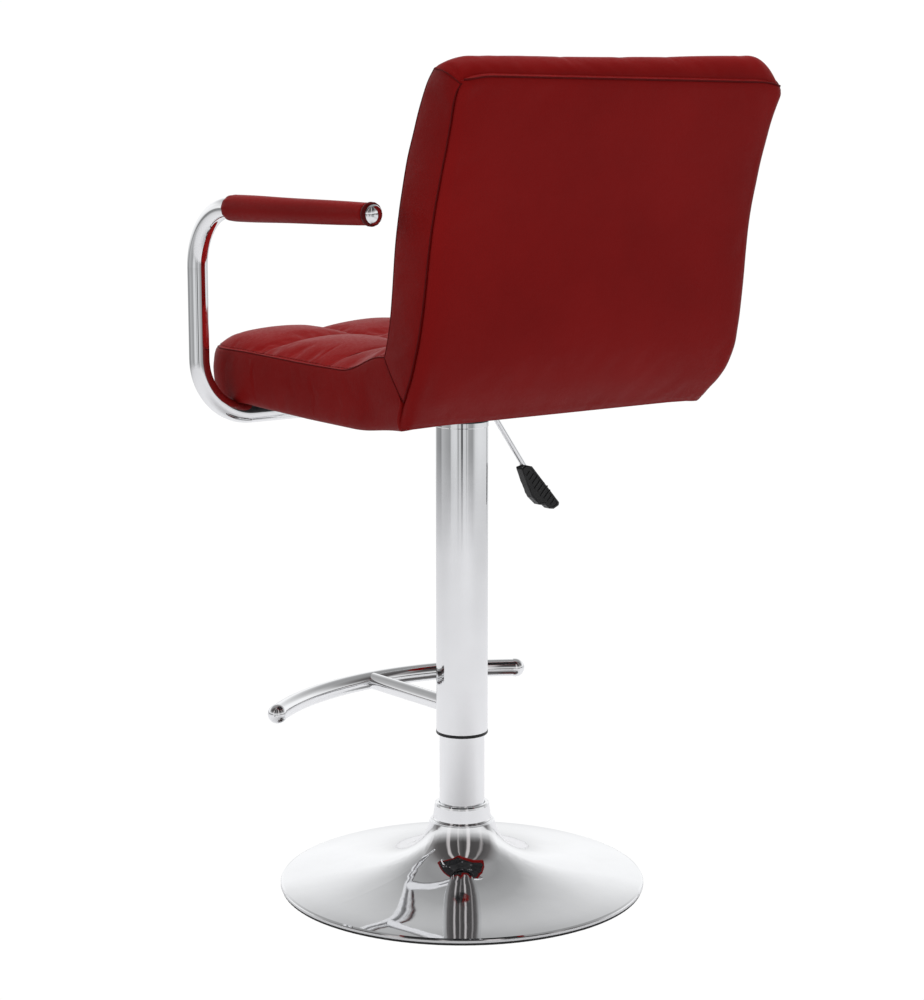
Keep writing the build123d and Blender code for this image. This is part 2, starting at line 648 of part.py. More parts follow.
# Rolled leather hems and chrome domed plugs at the rear of the pads.
with BuildPart() as arm_end_rings:
    for side in (1, -1):
        with BuildSketch(Plane(origin=(side * arm_x, 0, arm_z), x_dir=(0, 1, 0),
                               z_dir=(side, 0, 0))):
            y0, y1 = arm_pad_rear - 8.0, arm_pad_rear - 2.0
            with BuildLine():
                Spline((y0, arm_hem_r - 1.4), (y0 + 1.2, arm_hem_r - 0.3), (y0 + 3.2, arm_hem_r),
                       (y0 + 5.2, arm_hem_r - 0.5), (y1, arm_hem_r - 1.9))
                Polyline((y1, arm_hem_r - 1.9), (y1, arm_core_r + 0.02),
                         (y0, arm_core_r + 0.02), (y0, arm_hem_r - 1.4))
            make_face()
        revolve(axis=Axis((side * arm_x, 0, arm_z), (0, 1, 0)))
arm_end_rings.part.label = "arm_end_rings"
export_step(arm_end_rings.part, "parts/arm_end_rings.step")

with BuildPart() as arm_end_plugs:
    for side in (1, -1):
        with BuildSketch(Plane(origin=(side * arm_x, arm_pad_rear - 2.0, arm_z), x_dir=(1, 0, 0),
                               z_dir=(0, 1, 0))):
            Circle(arm_plug_r)
        extrude(amount=5.6)
    fillet(arm_end_plugs.faces().sort_by(Axis.Y)[-2:].edges(), 5.3)
arm_end_plugs.part.label = "arm_end_plugs"
export_step(arm_end_plugs.part, "parts/arm_end_plugs.step")

# Welded flat plates that carry the arm tubes, and their screws.
with BuildPart() as arm_plates:
    for side in (1, -1):
        with BuildSketch(Plane.XY.offset(plate_top - 3.0)):
            with Locations((side * 87.0, arm_y)):
                RectangleRounded(50.0, 54.0, 6.0)
            with Locations((side * 88.0, arm_y - 16.0), (side * 88.0, arm_y + 16.0)):
                Circle(3.2, mode=Mode.SUBTRACT)
        extrude(amount=3.0)
arm_plates.part.label = "arm_plates"
export_step(arm_plates.part, "parts/arm_plates.step")

with BuildPart() as arm_screws:
    for side in (1, -1):
        with BuildSketch(Plane.XY.offset(plate_top - 3.0)):
            with Locations((side * 88.0, arm_y - 16.0), (side * 88.0, arm_y + 16.0)):
                Circle(3.0)
        extrude(amount=13.0)
        with BuildSketch(Plane.XY.offset(plate_top - 3.0)):
            with Locations((side * 88.0, arm_y - 16.0), (side * 88.0, arm_y + 16.0)):
                Circle(6.0)
        extrude(amount=-3.2)
arm_screws.part.label = "arm_screws"
export_step(arm_screws.part, "parts/arm_screws.step")
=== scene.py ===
import json
import math
import bpy
import numpy as np
from mathutils import Vector, Matrix


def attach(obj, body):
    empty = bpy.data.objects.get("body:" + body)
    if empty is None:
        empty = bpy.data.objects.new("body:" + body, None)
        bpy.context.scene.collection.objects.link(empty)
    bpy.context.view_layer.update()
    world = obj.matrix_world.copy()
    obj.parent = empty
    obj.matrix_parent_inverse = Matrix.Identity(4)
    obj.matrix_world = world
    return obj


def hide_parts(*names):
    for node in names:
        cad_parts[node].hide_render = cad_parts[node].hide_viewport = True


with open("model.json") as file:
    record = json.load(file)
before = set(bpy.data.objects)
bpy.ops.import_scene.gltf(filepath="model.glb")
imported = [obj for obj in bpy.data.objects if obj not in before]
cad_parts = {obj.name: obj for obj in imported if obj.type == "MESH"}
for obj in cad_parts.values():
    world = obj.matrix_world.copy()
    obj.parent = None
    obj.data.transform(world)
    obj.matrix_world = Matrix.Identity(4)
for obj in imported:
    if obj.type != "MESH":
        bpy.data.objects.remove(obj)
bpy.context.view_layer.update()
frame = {"nodes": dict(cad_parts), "record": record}

nodes_cad = frame["nodes"]
scene = bpy.context.scene
MM = 0.001

# ------------------------------------------------------------------ helpers


def link(ob):
    scene.collection.objects.link(ob)
    return ob


def mesh_object(name, verts, faces, smooth=True):
    me = bpy.data.meshes.new(name)
    me.from_pydata([tuple(v) for v in verts], [], faces)
    me.validate()
    me.update()
    if smooth:
        me.shade_smooth()
    ob = bpy.data.objects.new(name, me)
    return link(ob)


def fix_normals(ob):
    import bmesh
    bm = bmesh.new()
    bm.from_mesh(ob.data)
    bmesh.ops.recalc_face_normals(bm, faces=bm.faces)
    bm.to_mesh(ob.data)
    bm.free()
    ob.data.update()


def apply_modifiers(ob):
    dg = bpy.context.evaluated_depsgraph_get()
    me = bpy.data.meshes.new_from_object(ob.evaluated_get(dg), depsgraph=dg)
    old = ob.data
    ob.modifiers.clear()
    ob.data = me
    me.name = ob.name
    return ob


def subdivide(ob, levels=1):
    m = ob.modifiers.new("sub", "SUBSURF")
    m.levels = levels
    m.render_levels = levels
    bpy.context.view_layer.update()
    return apply_modifiers(ob)


def coords(ob):
    co = np.zeros(len(ob.data.vertices) * 3, np.float64)
    ob.data.vertices.foreach_get("co", co)
    return co.reshape(-1, 3)


def set_coords(ob, co):
    ob.data.vertices.foreach_set("co", np.asarray(co, np.float32).ravel())
    ob.data.update()


def interp_line(points, t):
    """Points on a polyline at arc-length fractions t."""
    p = np.array(points, float)
    d = np.r_[0, np.cumsum(np.hypot(*np.diff(p, axis=0).T))]
    d /= d[-1]
    t = np.atleast_1d(t)
    return np.c_[np.interp(t, d, p[:, 0]), np.interp(t, d, p[:, 1])]


def smooth_line(points, n=160):
    """A Catmull-Rom curve through the points, evenly sampled."""
    p = np.array(points, float)
    q = np.vstack([2 * p[0] - p[1], p, 2 * p[-1] - p[-2]])
    out = []
    for i in range(1, len(q) - 2):
        a, b, c, d = q[i - 1], q[i], q[i + 1], q[i + 2]
        for t in np.linspace(0, 1, 12, endpoint=False):
            out.append(0.5 * ((2 * b) + (-a + c) * t + (2 * a - 5 * b + 4 * c - d) * t * t
                              + (-a + 3 * b - 3 * c + d) * t ** 3))
    out.append(q[-2])
    return interp_line(out, np.linspace(0, 1, n))


def box_surface(na, nb, nc):
    """The surface of a unit cube as a grid: index triples and quads."""
    index = {}
    tri = []

    def v(i, j, k):
        key = (i, j, k)
        if key not in index:
            index[key] = len(tri)
            tri.append(key)
        return index[key]
    faces = []
    for j in range(nb):
        for i in range(na):
            faces.append((v(i, j, nc), v(i + 1, j, nc), v(i + 1, j + 1, nc), v(i, j + 1, nc)))
            faces.append((v(i, j, 0), v(i, j + 1, 0), v(i + 1, j + 1, 0), v(i + 1, j, 0)))
    for k in range(nc):
        for i in range(na):
            faces.append((v(i, 0, k), v(i + 1, 0, k), v(i + 1, 0, k + 1), v(i, 0, k + 1)))
            faces.append((v(i, nb, k), v(i, nb, k + 1), v(i + 1, nb, k + 1), v(i + 1, nb, k)))
    for k in range(nc):
        for j in range(nb):
            faces.append((v(0, j, k), v(0, j, k + 1), v(0, j + 1, k + 1), v(0, j + 1, k)))
            faces.append((v(na, j, k), v(na, j + 1, k), v(na, j + 1, k + 1), v(na, j, k + 1)))
    return np.array(tri), faces


def spaced(length, seams, step, fine=(0.9, 2.2, 4.2, 7.0)):
    """Grid positions 0..1 along a length, close together on both sides of each seam."""
    marks = {0.0, length}
    for m in list(seams) + [0.0, length]:
        marks.add(float(m))
        for f in fine:
            for q in (m - f, m + f):
                if 0 < q < length:
                    marks.add(float(q))
    marks = sorted(marks)
    out = [marks[0]]
    for p, q in zip(marks[:-1], marks[1:]):
        n = max(1, int(math.ceil((q - p) / step)))
        out += [p + (q - p) * i / n for i in range(1, n + 1)]
    keep = [out[0]]
    for v in out[1:]:
        if v - keep[-1] > 0.35:
            keep.append(v)
    keep[-1] = length
    return np.array(keep) / length


def smoothstep(x):
    x = np.clip(x, 0, 1)
    return x * x * (3 - 2 * x)


# ---------------------------------------------------------------- materials


def new_material(name):
    m = bpy.data.materials.new(name)
    m.use_nodes = True
    nt = m.node_tree
    bsdf = next(n for n in nt.nodes if n.type == "BSDF_PRINCIPLED")
    return m, nt, bsdf


def noise(nt, scale, detail=3.0, rough=0.5, vec=None, dist=0.0):
    n = nt.nodes.new("ShaderNodeTexNoise")
    n.inputs["Scale"].default_value = scale
    n.inputs["Detail"].default_value = detail
    n.inputs["Roughness"].default_value = rough
    n.inputs["Distortion"].default_value = dist
    if vec is not None:
        nt.links.new(vec, n.inputs["Vector"])
    return n


def object_coords(nt):
    return nt.nodes.new("ShaderNodeTexCoord").outputs["Object"]


def ramp(nt, fac, stops):
    r = nt.nodes.new("ShaderNodeValToRGB")
    el = r.color_ramp.elements
    while len(el) > 1:
        el.remove(el[-1])
    el[0].position = stops[0][0]
    el[0].color = (*stops[0][1], 1)
    for p, c in stops[1:]:
        e = el.new(p)
        e.color = (*c, 1)
    nt.links.new(fac, r.inputs["Fac"])
    return r.outputs["Color"]


def map_range(nt, value, lo, hi, a, b):
    m = nt.nodes.new("ShaderNodeMapRange")
    m.inputs["From Min"].default_value = lo
    m.inputs["From Max"].default_value = hi
    m.inputs["To Min"].default_value = a
    m.inputs["To Max"].default_value = b
    nt.links.new(value, m.inputs["Value"])
    return m.outputs["Result"]


def bump(nt, height, strength, distance, normal=None):
    b = nt.nodes.new("ShaderNodeBump")
    b.inputs["Strength"].default_value = strength
    b.inputs["Distance"].default_value = distance
    nt.links.new(height, b.inputs["Height"])
    if normal is not None:
        nt.links.new(normal, b.inputs["Normal"])
    return b.outputs["Normal"]


def leather(name, dark, mid, light, rough=0.42, spec=0.32):
    m, nt, b = new_material(name)
    v = object_coords(nt)
    large = noise(nt, 9.0, 4.0, 0.55, v)
    col = ramp(nt, large.outputs["Fac"], [(0.28, dark), (0.5, mid), (0.74, light)])
    nt.links.new(col, b.inputs["Base Color"])
    fine = noise(nt, 260.0, 3.0, 0.6, v)
    nt.links.new(map_range(nt, fine.outputs["Fac"], 0.3, 0.7, rough - 0.05, rough + 0.07),
                 b.inputs["Roughness"])
    # pebbled grain, about a millimetre across, over very fine creases
    vo = nt.nodes.new("ShaderNodeTexVoronoi")
    vo.feature = "SMOOTH_F1"
    vo.inputs["Scale"].default_value = 780.0
    vo.inputs["Smoothness"].default_value = 0.6
    warp = noise(nt, 300.0, 2.0, 0.5, v)
    add = nt.nodes.new("ShaderNodeMixRGB")
    add.blend_type = "LINEAR_LIGHT"
    add.inputs["Fac"].default_value = 0.0016
    nt.links.new(v, add.inputs["Color1"])
    nt.links.new(warp.outputs["Color"], add.inputs["Color2"])
    nt.links.new(add.outputs["Color"], vo.inputs["Vector"])
    n1 = bump(nt, vo.outputs["Distance"], 0.35, 0.00035)
    crease = noise(nt, 120.0, 4.0, 0.6, v, 0.8)
    n2 = bump(nt, crease.outputs["Fac"], 0.25, 0.0006, n1)
    nt.links.new(n2, b.inputs["Normal"])
    b.inputs["Specular IOR Level"].default_value = spec
    b.inputs["IOR"].default_value = 1.45
    return m


def chrome(name, rough=0.035, tint=(0.88, 0.885, 0.895)):
    m, nt, b = new_material(name)
    v = object_coords(nt)
    b.inputs["Metallic"].default_value = 1.0
    n = noise(nt, 35.0, 3.0, 0.5, v)
    col = ramp(nt, n.outputs["Fac"], [(0.3, tuple(c * 0.97 for c in tint)), (0.7, tint)])
    nt.links.new(col, b.inputs["Base Color"])
    f = noise(nt, 70.0, 4.0, 0.6, v)
    nt.links.new(map_range(nt, f.outputs["Fac"], 0.35, 0.7, rough * 0.7, rough * 1.5),
                 b.inputs["Roughness"])
    w = noise(nt, 55.0, 1.0, 0.4, v)
    nt.links.new(bump(nt, w.outputs["Fac"], 0.06, 0.0003), b.inputs["Normal"])
    return m


def plain(name, a, b2, rough, metallic=0.0, scale=60.0, grain=400.0, grain_h=0.00015, spec=0.5,
          strength=0.4):
    m, nt, b = new_material(name)
    v = object_coords(nt)
    n = noise(nt, scale, 3.0, 0.55, v)
    nt.links.new(ramp(nt, n.outputs["Fac"], [(0.3, a), (0.7, b2)]), b.inputs["Base Color"])
    g = noise(nt, grain, 2.0, 0.6, v)
    nt.links.new(map_range(nt, g.outputs["Fac"], 0.3, 0.7, rough - 0.05, rough + 0.07),
                 b.inputs["Roughness"])
    nt.links.new(bump(nt, g.outputs["Fac"], strength, grain_h), b.inputs["Normal"])
    b.inputs["Metallic"].default_value = metallic
    b.inputs["Specular IOR Level"].default_value = spec
    return m


M = {}
M["red_leather"] = leather("mat_red_leather", (0.162, 0.0044, 0.0042), (0.179, 0.0050, 0.0048),
                           (0.196, 0.0058, 0.0055), rough=0.44, spec=0.062)
M["red_upholstery"] = M["red_leather"]
M["arm_leather"] = leather("mat_arm_leather", (0.040, 0.002, 0.002), (0.055, 0.0025, 0.0025),
                           (0.070, 0.003, 0.003), rough=0.42, spec=0.1)
M["thread"] = plain("mat_thread", (0.072, 0.0026, 0.0028), (0.090, 0.0032, 0.0034), 0.65, scale=300,
                    spec=0.1)
M["chrome"] = chrome("mat_chrome")
M["black_plastic"] = plain("mat_black_plastic", (0.005, 0.005, 0.0055), (0.008, 0.008, 0.0085), 0.40,
                           grain=900, grain_h=0.0002, spec=0.35)
M["black_rubber"] = plain("mat_black_rubber", (0.010, 0.010, 0.010), (0.016, 0.016, 0.016), 0.65)
M["bare_steel"] = plain("mat_steel", (0.42, 0.42, 0.44), (0.52, 0.52, 0.54), 0.32, metallic=1.0,
                        grain=500)
M["black_paint"] = plain("mat_black_paint", (0.012, 0.012, 0.013), (0.02, 0.02, 0.021), 0.45,
                         grain=700, grain_h=0.0002)
M["plywood"] = plain("mat_plywood", (0.42, 0.27, 0.14), (0.55, 0.37, 0.21), 0.6, scale=20)
M["black_lining"] = plain("mat_lining", (0.008, 0.008, 0.009), (0.014, 0.014, 0.015), 0.9,
                          grain=1600, grain_h=0.0004, strength=0.8)

slot_of = {s["node"]: s["material_slot"] for s in frame["record"]["subparts"]}
for name, ob in nodes_cad.items():
    ob.data.materials.clear()
    ob.data.materials.append(M[slot_of[name]])

# ------------------------------------------------------------- upholstery
HALF_W = 198.0
rear_line = [(153.9, 516.0), (158.5, 526.0), (165.8, 536.0), (172.1, 544.7), (178.4, 555.0),
             (184.0, 566.0), (188.5, 578.0), (192.0, 591.0), (195.2, 604.0), (199.0, 625.0),
             (202.4, 648.0), (205.6, 673.0), (209.3, 697.0), (214.2, 719.5), (219.2, 737.5),
             (224.0, 755.0), (228.2, 768.0), (232.9, 783.0), (237.6, 798.0), (243.0, 813.0),
             (250.6, 827.0)]
front_line = [(131.6, 582.0), (136.3, 596.0), (141.0, 618.0), (144.6, 645.0), (149.3, 686.0),
              (155.2, 716.0), (161.5, 738.0), (170.0, 765.0), (178.4, 786.0), (187.2, 808.0),
              (198.5, 830.0), (209.0, 842.5)]


def pillow(t, q=0.5):
    """Height of a stuffed cell, 0 at its seams (t = 0, 1) and 1 in the middle."""
    return np.abs(np.sin(np.pi * np.clip(t, 0, 1))) ** q


def cells(x, edges, q=0.5):
    h = np.zeros_like(x)
    for a, b in zip(edges[:-1], edges[1:]):
        k = (x >= a) & (x <= b)
        h[k] = pillow((x[k] - a) / (b - a), q)
    return h


# ---- seat cushion
SEAT_FRONT = -192.0
CORNER = 52.0
seat_cols = [-HALF_W, -66.0, 66.0, HALF_W]
seat_rows = [SEAT_FRONT, -80.0, 35.0, 140.0]


def seam_z(y):
    """Height of the side seam of the seat at each Y."""
    return np.interp(y, [-192, -157, -103, -2, 60, 90, 110, 122, 131.6],
                     [569.5, 570.0, 569.5, 565.8, 564.6, 565.5, 569.5, 575.0, 582.0])


def bottom_z(y):
    """The lower edge of the boxing: higher over the arm tubes, lower at the heel."""
    return np.interp(y, [-192, -105, -85, 0, 100, 154], [516.4, 516.2, 515.0, 511.4, 508.8, 509.3])


def seat_shape():
    ua = spaced(396.0, [132.0, 264.0], 5.2)
    y_run = 140.0 - SEAT_FRONT
    b0 = 0.2
    corner_steps = np.linspace(0, b0, 15)
    rows = spaced(323.6, [59.0, 174.0], 5.2)
    ub = np.r_[corner_steps, b0 + (1 - b0) * rows[rows > 0.012]]
    uc = np.array([0, 0.04, 0.09, 0.16, 0.24, 0.32, 0.42, 0.52, 0.62, 0.72, 0.81, 0.88, 0.94, 0.975,
                   1.0])
    na, nb, nc = len(ua) - 1, len(ub) - 1, len(uc) - 1
    tri, faces = box_surface(na, nb, nc)
    a = ua[tri[:, 0]]
    b = ub[tri[:, 1]]
    c = uc[tri[:, 2]]
    # side profile of the boxing, bottom to seam: inset from the outline, share of the height
    inset = np.interp(c, [0, 0.05, 0.14, 0.3, 0.6, 0.9, 0.975, 1.0],
                      [5.0, 1.8, 0.0, -1.2, -2.2, -0.8, 0.2, 1.3])
    th = np.clip(b / b0, 0, 1) * math.pi / 2
    y_front = SEAT_FRONT + inset
    # rear end: up the heel, then along the mitre
    yr = np.interp(c, [0, 0.16, 0.30, 0.43, 1.0], [147.9, 152.5, 159.8, 166.1, 131.6])
    zr = np.interp(c, [0, 0.16, 0.30, 0.43, 1.0], [510.0, 524.0, 536.0, 544.7, 582.0])
    arc_y = y_front + CORNER * (1 - np.cos(th))
    run = np.clip((b - b0) / (1 - b0), 0, 1)
    y = arc_y + run * (yr - (y_front + CORNER))
    w = HALF_W - inset - CORNER * (1 - np.sin(th))
    x = (2 * a - 1) * w
    rear_w = np.interp(c, [0, 0.16, 0.30, 0.43, 0.7, 1.0], [-1.0, 2.0, 4.5, 6.0, 2.6, 0.0])
    x += (2 * a - 1) * rear_w * smoothstep((run - 0.80) / 0.20)
    yc = np.clip(y, SEAT_FRONT, 131.6)
    zt = seam_z(yc)
    zb = bottom_z(y)
    z = zb + c * (zt - zb)
    zr = zr + (1 - c) ** 6 * 7.5 * (1 - 0.42 * smoothstep((np.abs(x) - 150) / 40))
    blend = np.where(run > 0, smoothstep((run - 0.74) / 0.26), 0)
    z = z * (1 - blend) + zr * blend
    top = tri[:, 2] == nc
    # the lower face is flat behind the edge, clear of the metalwork
    low = tri[:, 2] == 0
    inner = low & (np.abs(x) < 184) & (y > -178) & (y < 146)
    z[inner] = 515.4
    # crowned and quilted top
    xt, yt = x[top], y[top]
    wt = w[top]
    ex = 1 - np.abs(xt / HALF_W) ** 4.2
    ey = np.clip((yt - SEAT_FRONT) / 50, 0, 1)
    ey = 1 - (1 - ey) ** 2.6
    edge = np.clip((wt - np.abs(xt)) / 26.0, 0, 1)
    fy = np.clip((yt - (SEAT_FRONT + inset[top])) / 24.0, 0, 1)
    edge = np.minimum(edge, np.where(b[top] < b0, np.maximum(fy, 0), 1))
    edge = 1 - (1 - edge) ** 2.3
    crown = 9.0 * ex * ey
    tuft = 9.5 * (cells(xt, seat_cols, 0.55) * cells(yt, seat_rows, 0.55))
    z[top] += (crown + 1.0 + tuft) * edge
    pin = np.ones(len(a))
    free = top & (np.abs(np.abs(x) - 66) > 1.2) & (np.abs(y + 80) > 1.2) & (np.abs(y - 35) > 1.2)
    free &= (wt_all(w, x) > 2.5) & (y > SEAT_FRONT + 4) & (y < 128)
    pin[free] = 0
    side = ((tri[:, 0] == 0) | (tri[:, 0] == na) | (tri[:, 1] == 0)) & (c > 0.08) & (c < 0.93)
    side &= (run < 0.90)
    pin[side] = 0
    return np.c_[x, y, z], faces, tri, (na, nb, nc), pin


def wt_all(w, x):
    return w - np.abs(x)


def build_seat():
    v, f, tri, n, pin = seat_shape()
    ob = mesh_object("seat_cushion", v * MM, f)
    fix_normals(ob)
    return ob, tri, n, pin


# ---- back cushion
back_rows = [0.0, 0.36, 0.69, 1.0]


def flare(b):
    """How far the rear seam stands out from the straight side, by height along the rear panel."""
    return np.interp(b, [0, 0.03, 0.08, 0.13, 0.215, 0.27, 0.355, 0.49, 0.62, 0.8, 0.9, 0.95, 0.98,
                         1.0],
                     [-2.0, 0.0, 5.0, 7.5, 8.0, 6.8, 5.6, 4.2, 3.0, 2.0, 2.6, 4.2, 4.4, 2.4])


def crest_ends(x):
    q = np.sqrt(np.clip(1 - np.clip((np.abs(x) - 172) / 27.5, 0, 1) ** 2.3, 0, 1))
    return 0.34 + 0.66 * q


def back_shape():
    ua = spaced(396.0, [132.0, 264.0], 5.2)
    ub = spaced(276.0, [0.36 * 276, 0.69 * 276], 5.0)
    uc = np.array([0, 0.025, 0.06, 0.12, 0.19, 0.27, 0.35, 0.43, 0.5, 0.57, 0.65, 0.73, 0.81, 0.88,
                   0.94, 0.975, 1.0])
    na, nb, nc = len(ua) - 1, len(ub) - 1, len(uc) - 1
    tri, faces = box_surface(na, nb, nc)
    a = ua[tri[:, 0]]
    b = ub[tri[:, 1]]
    c = uc[tri[:, 2]]
    front = smooth_line(front_line, 400)
    rear = smooth_line([(y - 5.0, z) for y, z in rear_line[3:]], 400)
    F = interp_line(front, b)
    R = interp_line(rear, b)
    x = (2 * a - 1) * HALF_W
    y = R[:, 0] + (F[:, 0] - R[:, 0]) * c
    z = R[:, 1] + (F[:, 1] - R[:, 1]) * c
    # the front seam stands forward of the straight chord
    y -= c ** 3 * (0.6 + 2.0 * smoothstep((b - 0.45) / 0.25))
    # gussets bulge between their seams, most just above the heel
    side = (tri[:, 0] == 0) | (tri[:, 0] == na)
    wave = np.sin(np.pi * np.clip(c, 0, 1)) ** 0.55
    far = smoothstep((np.abs(2 * a - 1) - 0.85) / 0.15)
    x += np.sign(x) * far * flare(0.1 + 0.9 * b) * (1 - c) ** 1.2
    x[side] += np.sign(x[side]) * (2.2 + 2.2 * smoothstep((b[side] - 0.9) / 0.1)) * wave[side]
    # crest: a rolled band that drops to the gusset corners
    crest = tri[:, 1] == nb
    near = smoothstep((b - 0.90) / 0.10)
    ends = crest_ends(x)
    rise = np.where(crest, 1.0, 0.0)
    bulge = np.sin(np.pi * c) ** 0.6
    high = 16.0 - 4.4 * x / HALF_W - 1.5 * np.cos(np.pi * x / HALF_W) * 0.5
    z += rise * bulge * high * ends
    y += rise * bulge * 3.0 * ends
    # top seam lifts towards the middle
    z += near * (1 - c) * 8.0 * ends
    z += near * c * 3.0 * ends
    z -= near * c * 3.5 * (1 - ends)
    z -= near * (1 - c) * 1.6 * smoothstep((np.abs(x) - 165) / 33) ** 1.5
    # quilted front
    fr = (tri[:, 2] == nc) & ~crest
    xt, bt = x[fr], b[fr]
    edge = np.clip((HALF_W + 2 - np.abs(xt)) / 28.0, 0, 1)
    edge = 1 - (1 - edge) ** 2.3
    lo = 1 - (1 - np.clip(bt / 0.07, 0, 1)) ** 2.0
    h = (7.0 * (1 - np.abs(np.clip(xt / HALF_W, -1, 1)) ** 3) + 8.5 * cells(xt, seat_cols, 0.55)
         * cells(bt, back_rows, 0.55)) * edge
    h *= 0.35 + 0.65 * lo
    h *= 1 - smoothstep((bt - 0.95) / 0.05) * 0.6
    # direction: square to the front line
    t1 = interp_line(front, np.clip(bt - 0.01, 0, 1))
    t2 = interp_line(front, np.clip(bt + 0.01, 0, 1))
    d = t2 - t1
    d /= np.hypot(d[:, 0], d[:, 1])[:, None]
    y[fr] += -d[:, 1] * h
    z[fr] += d[:, 0] * h
    pin = np.ones(len(a))
    free = fr_mask(tri, na, nb, nc) & (np.abs(np.abs(x) - 66) > 1.2)
    for q in (0.36, 0.69):
        free &= np.abs(b - q) * 276 > 1.2
    pin[free] = 0
    gus = side & (c > 0.05) & (c < 0.95) & (b > 0.03) & (b < 0.97)
    pin[gus] = 0
    pin[crest & (c > 0.05) & (c < 0.95) & (tri[:, 0] > 1) & (tri[:, 0] < na - 1)] = 0
    return np.c_[x, y, z], faces, tri, (na, nb, nc), pin


def fr_mask(tri, na, nb, nc):
    return ((tri[:, 2] == nc) & (tri[:, 1] > 1) & (tri[:, 1] < nb - 1) & (tri[:, 0] > 1)
            & (tri[:, 0] < na - 1))


def build_back():
    v, f, tri, n, pin = back_shape()
    ob = mesh_object("back_cushion", v * MM, f)
    fix_normals(ob)
    return ob, tri, n, pin


# ---- rear panel
def panel_shape():
    ua = spaced(396.0, [], 6.0, fine=(0.7, 1.8, 3.2, 5.0, 7.0, 9.5, 12.5))
    ub = spaced(340.0, [], 6.0, fine=(0.7, 1.8, 3.2, 5.0, 7.5))
    uc = np.array([0, 0.5, 1.0])
    na, nb, nc = len(ua) - 1, len(ub) - 1, len(uc) - 1
    tri, faces = box_surface(na, nb, nc)
    a = ua[tri[:, 0]]
    b = ub[tri[:, 1]]
    c = uc[tri[:, 2]]
    rear = smooth_line(rear_line, 500)
    P = interp_line(rear, b)
    t = interp_line(rear, np.clip(b + 0.01, 0, 1)) - interp_line(rear, np.clip(b - 0.01, 0, 1))
    t /= np.hypot(t[:, 0], t[:, 1])[:, None]
    nrm = np.c_[t[:, 1], -t[:, 0]]
    wide = HALF_W + flare(b) - 0.4
    x = (2 * a - 1) * wide
    ends = crest_ends(x)
    near = smoothstep((b - 0.90) / 0.10)
    # edges roll over to the gusset seams
    e = np.clip(np.minimum(a, 1 - a) * 396.0 / 12.5, 0, 1)
    roll = 1 - np.sqrt(np.clip(1 - (1 - e) ** 2.0, 0, 1))
    et = np.clip((1 - b) * 340 / 6.0, 0, 1)
    roll_top = (1 - et) ** 2.2
    belly = 3.0 * np.sin(np.pi * np.clip(b, 0, 1)) ** 0.8 * (1 - np.abs(x / wide) ** 2.4)
    out = 2.6 + belly + 0.3 * flare(b) - 7.8 * roll - 3.2 * roll_top
    out -= 3.4 * (1 - smoothstep(b / 0.03))
    out = np.where(c > 0.7, out, np.where(c > 0.3, np.minimum(out - 0.6, -5.0), -6.4))
    y = P[:, 0] + nrm[:, 0] * out
    z = P[:, 1] + nrm[:, 1] * out + near * 8.0 * ends
    z -= near * 1.6 * smoothstep((np.abs(x) - 165) / 33) ** 1.5
    x = x * np.where(c > 0.7, 1.0, 0.985)
    # the bottom edge folds under; its corners reach the boxing's lower edge
    foot = smoothstep((0.06 - b) / 0.06)
    z -= foot * np.where(c > 0.7, 1.0 * smoothstep((np.abs(x) - 130) / 60), 0)
    pin = np.ones(len(a))
    free = (c > 0.7) & (tri[:, 0] > 3) & (tri[:, 0] < na - 3) & (tri[:, 1] > 3) & (tri[:, 1] < nb - 3)
    pin[free] = 0
    return np.c_[x, y, z], faces, tri, (na, nb, nc), pin


def build_panel():
    v, f, tri, n, pin = panel_shape()
    ob = mesh_object("back_cover", v * MM, f)
    fix_normals(ob)
    return ob, tri, n, pin


